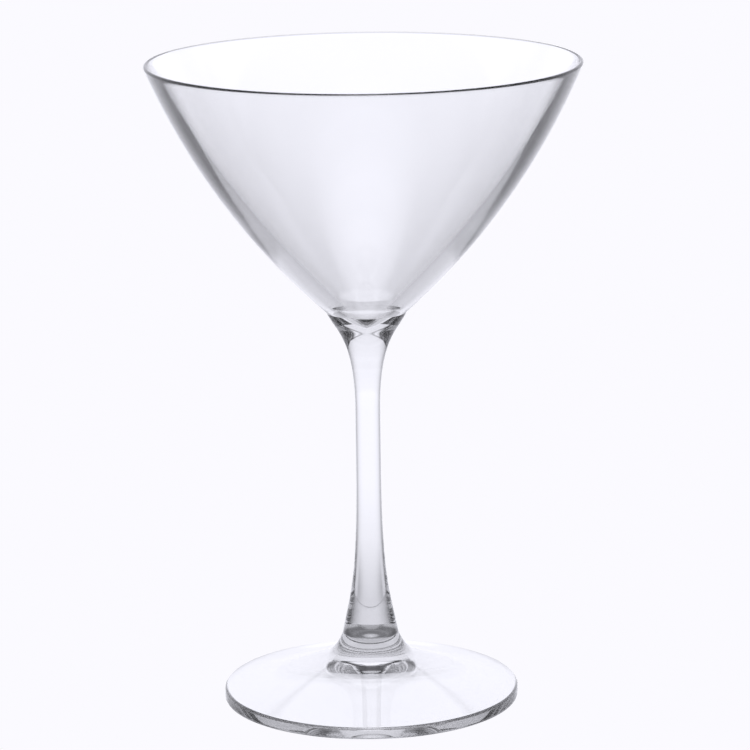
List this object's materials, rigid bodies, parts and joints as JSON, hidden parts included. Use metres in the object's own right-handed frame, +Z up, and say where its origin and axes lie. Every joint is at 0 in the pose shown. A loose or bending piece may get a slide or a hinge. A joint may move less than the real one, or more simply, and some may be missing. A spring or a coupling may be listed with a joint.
{
  "type": "martini glass",
  "caption": "V-shaped cocktail bowl on a slim waisted stem and a broad round foot, for serving short chilled drinks without ice",
  "frame": {"origin": "centre of the foot's underside, in the plane of the ring the glass stands on", "axes": "+Z up along the axis of revolution, from foot to rim; the glass is round, so X and Y are interchangeable"},
  "size_m": [0.113, 0.113, 0.17],
  "materials": {
    "bowl_glass": "clear, polished",
    "stem_glass": "clear, polished",
    "foot_glass": "clear, polished"
  },
  "bodies": {
    "root": {"bowl": "bowl_glass", "stem": "stem_glass", "foot": "foot_glass"}
  },
  "joints": []
}
